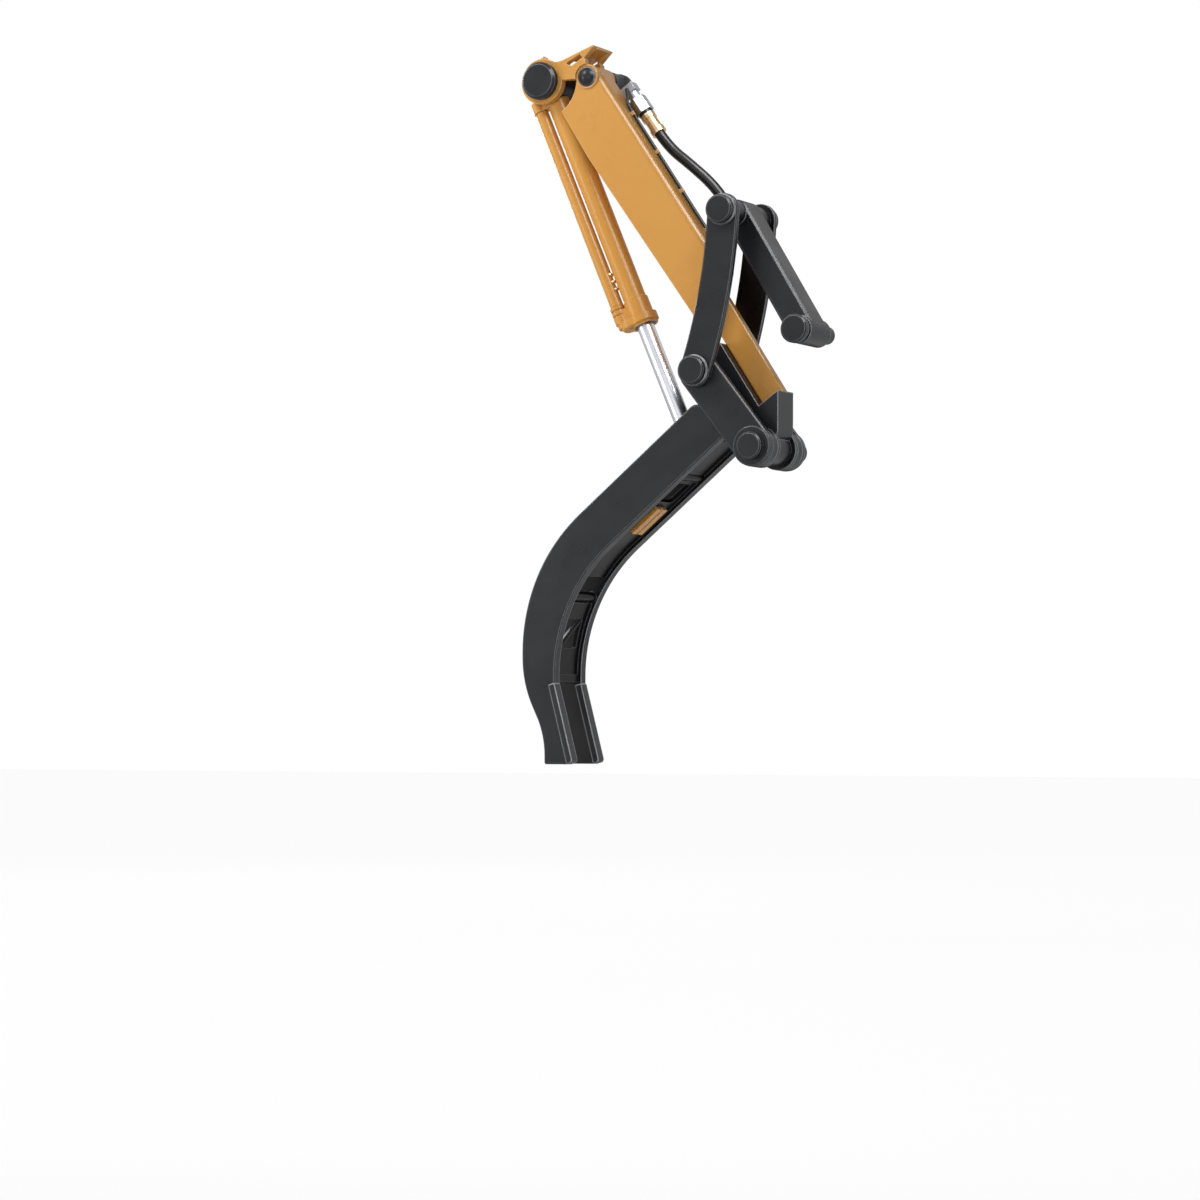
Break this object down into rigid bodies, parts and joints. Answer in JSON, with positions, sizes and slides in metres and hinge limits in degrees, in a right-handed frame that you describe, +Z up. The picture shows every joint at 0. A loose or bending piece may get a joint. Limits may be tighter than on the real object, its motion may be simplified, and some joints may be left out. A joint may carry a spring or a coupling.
{
  "type": "hydraulic thumb",
  "caption": "Curved two-tined hydraulic thumb hinged under a digger arm's end, with its cylinder on the arm, idler links and a link waiting for a bucket.",
  "frame": {"origin": "on the axis of the arm's foot, half way across the arm, where the boom holds it", "axes": "+Z up as pictured, +X from the cylinder's side of the arm towards the bucket's side, +Y across the arm along every pin, away from the camera"},
  "size_m": [0.87, 0.326, 1.9415],
  "materials": {
    "gold_paint": "semi-gloss",
    "black_paint": "satin",
    "plain_steel": "brushed",
    "chrome_rod": "polished",
    "brass_fitting": "satin",
    "black_rubber": "matt"
  },
  "bodies": {
    "arm": {"arm_shell": "gold_paint", "arm_belly_plate": "gold_paint", "arm_end_plate": "gold_paint", "arm_neck": "gold_paint", "foot_boss": "gold_paint", "foot_pin": "black_paint", "foot_grease_cap": "black_paint", "nose_casting": "black_paint", "cheek_near": "black_paint", "cheek_far": "black_paint", "idler_sleeves": "black_paint", "main_rings": "black_paint", "main_pin": "black_paint", "main_pin_cap": "black_paint", "idler_pin": "plain_steel", "idler_pin_caps": "black_paint", "bracket_ear_near": "gold_paint", "bracket_ear_far": "gold_paint", "bracket_hood": "gold_paint", "base_pin": "plain_steel", "base_pin_caps": "black_paint", "hose": "black_rubber", "brass_collar": "brass_fitting", "coupling_seal": "black_rubber", "hex_coupling": "plain_steel", "valve_block": "plain_steel", "hose_end_fitting": "plain_steel", "arm_pipe": "black_paint", "pipe_clips": "black_paint"},
    "thumb": {"tine_near": "black_paint", "tine_far": "black_paint", "thumb_hubs": "black_paint", "tip_bars": "black_paint", "web_top": "black_paint", "web_middle": "black_paint", "web_low": "black_paint", "cross_tubes": "black_paint", "web_bars": "black_paint", "web_pad": "gold_paint", "rod_lugs": "black_paint"},
    "barrel": {"barrel": "gold_paint", "base_eye": "black_paint", "base_port": "gold_paint", "port_tube": "gold_paint", "tube_spacers": "brass_fitting", "cylinder_head": "gold_paint", "rod_wiper": "black_rubber"},
    "rod": {"rod": "chrome_rod", "piston": "plain_steel", "rod_eye": "black_paint", "rod_pin": "plain_steel"},
    "idlers": {"idler_near": "black_paint", "idler_far": "black_paint", "joint_pin": "black_paint", "joint_pin_caps": "black_paint"},
    "bucket_link": {"bucket_link": "black_paint", "bucket_pin": "black_paint", "bucket_pin_cap": "black_paint"}
  },
  "joints": [
    {"name": "thumb_swing", "type": "hinge", "parent": "arm", "child": "thumb", "pos_m": [0.52, 0, -1.024], "axis": [0, -1, 0], "range_deg": [-15, 28]},
    {"name": "cylinder_swing", "type": "hinge", "parent": "arm", "child": "barrel", "pos_m": [-0.137, 0, -0.003], "axis": [0, -1, 0], "range_deg": [-2, 1.2]},
    {"name": "rod_slide", "type": "slide", "parent": "barrel", "child": "rod", "axis": [0.3924, 0, -0.9198], "range_m": [-0.06, 0.11]},
    {"name": "idler_swing", "type": "hinge", "parent": "arm", "child": "idlers", "pos_m": [0.359, 0, -0.82], "axis": [0, 1, 0], "range_deg": [-3, 30]},
    {"name": "bucket_link_swing", "type": "hinge", "parent": "idlers", "child": "bucket_link", "pos_m": [0.441, 0, -0.4], "axis": [0, -1, 0], "range_deg": [-5, 45]}
  ],
  "couplings": [
    {"joint": "cylinder_swing", "follows": "thumb_swing", "ratio": -0.065},
    {"joint": "rod_slide", "follows": "thumb_swing", "m_per_rad": 0.222}
  ]
}
